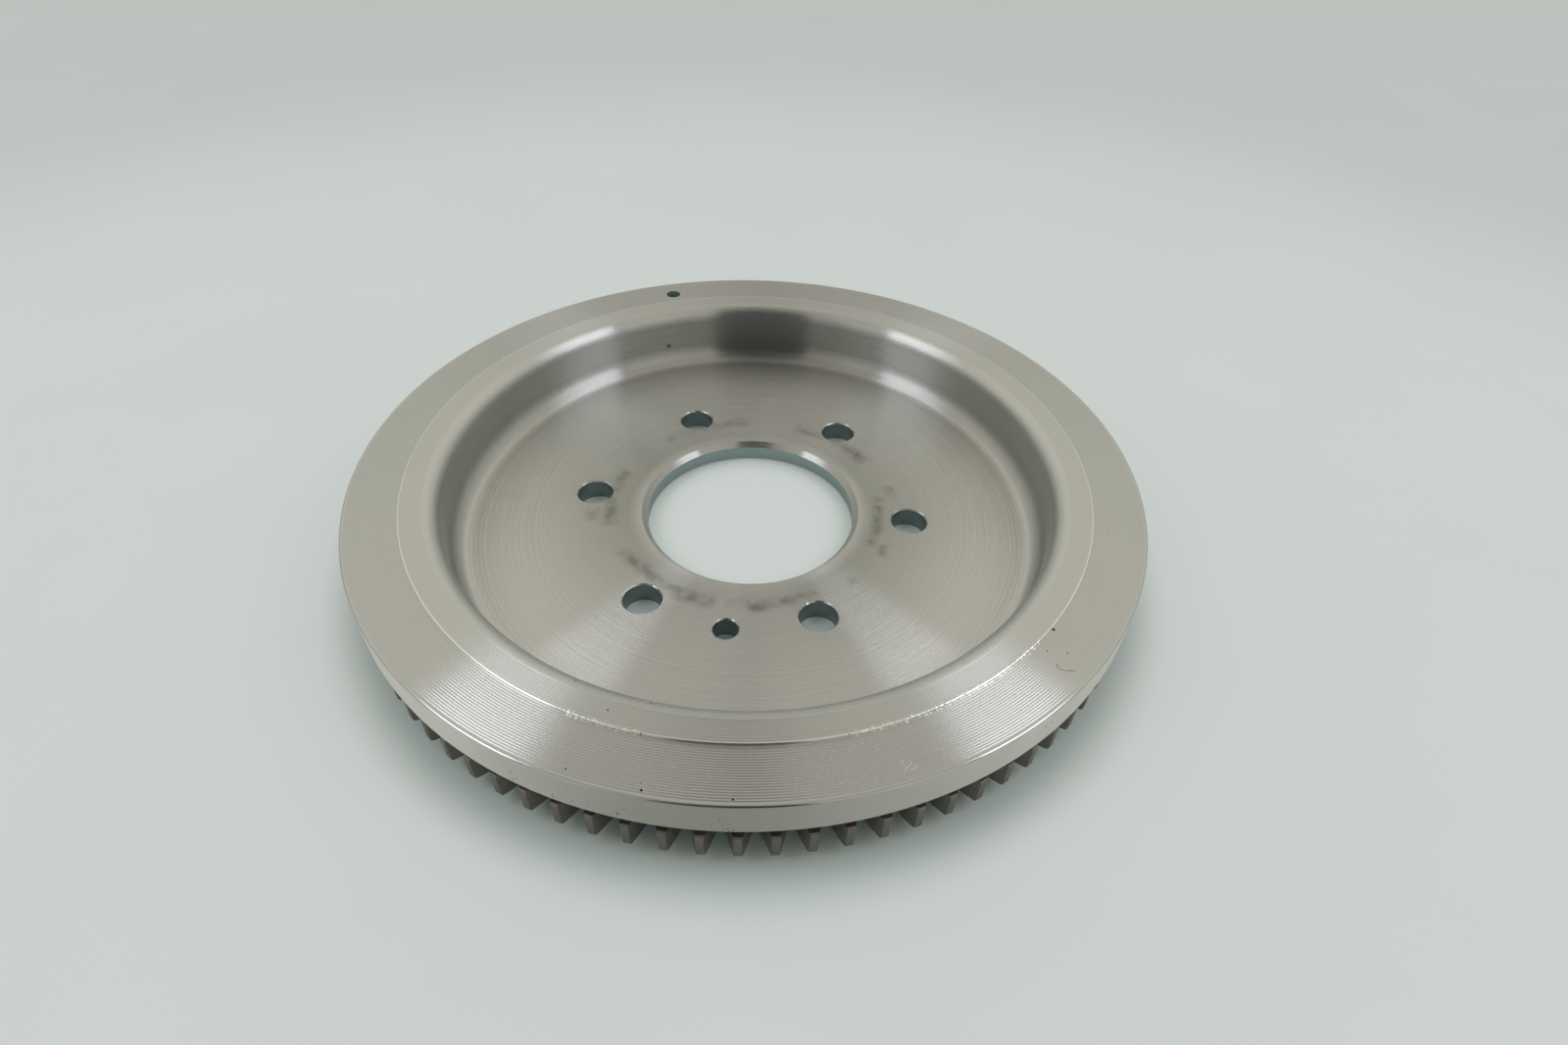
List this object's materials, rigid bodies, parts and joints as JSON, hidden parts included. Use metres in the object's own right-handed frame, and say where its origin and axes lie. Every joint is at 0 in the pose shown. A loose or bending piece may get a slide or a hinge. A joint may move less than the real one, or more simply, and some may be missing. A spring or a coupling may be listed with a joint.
{
  "type": "starter ring gear",
  "caption": "Dished steel starter ring gear: spur teeth under a smooth flanged rim, and a flat web with a centre bore, bolt holes and a locating pin's hole.",
  "frame": {"origin": "centre of the bore, on the underside of the web", "axes": "+Z along the axis, up out of the dish; -Y from the axis towards the locating pin's hole"},
  "size_m": [0.1774, 0.1774, 0.0204],
  "materials": {
    "turned_steel": "turned, satin"
  },
  "bodies": {
    "root": {"starter_ring_gear": "turned_steel"}
  },
  "joints": []
}
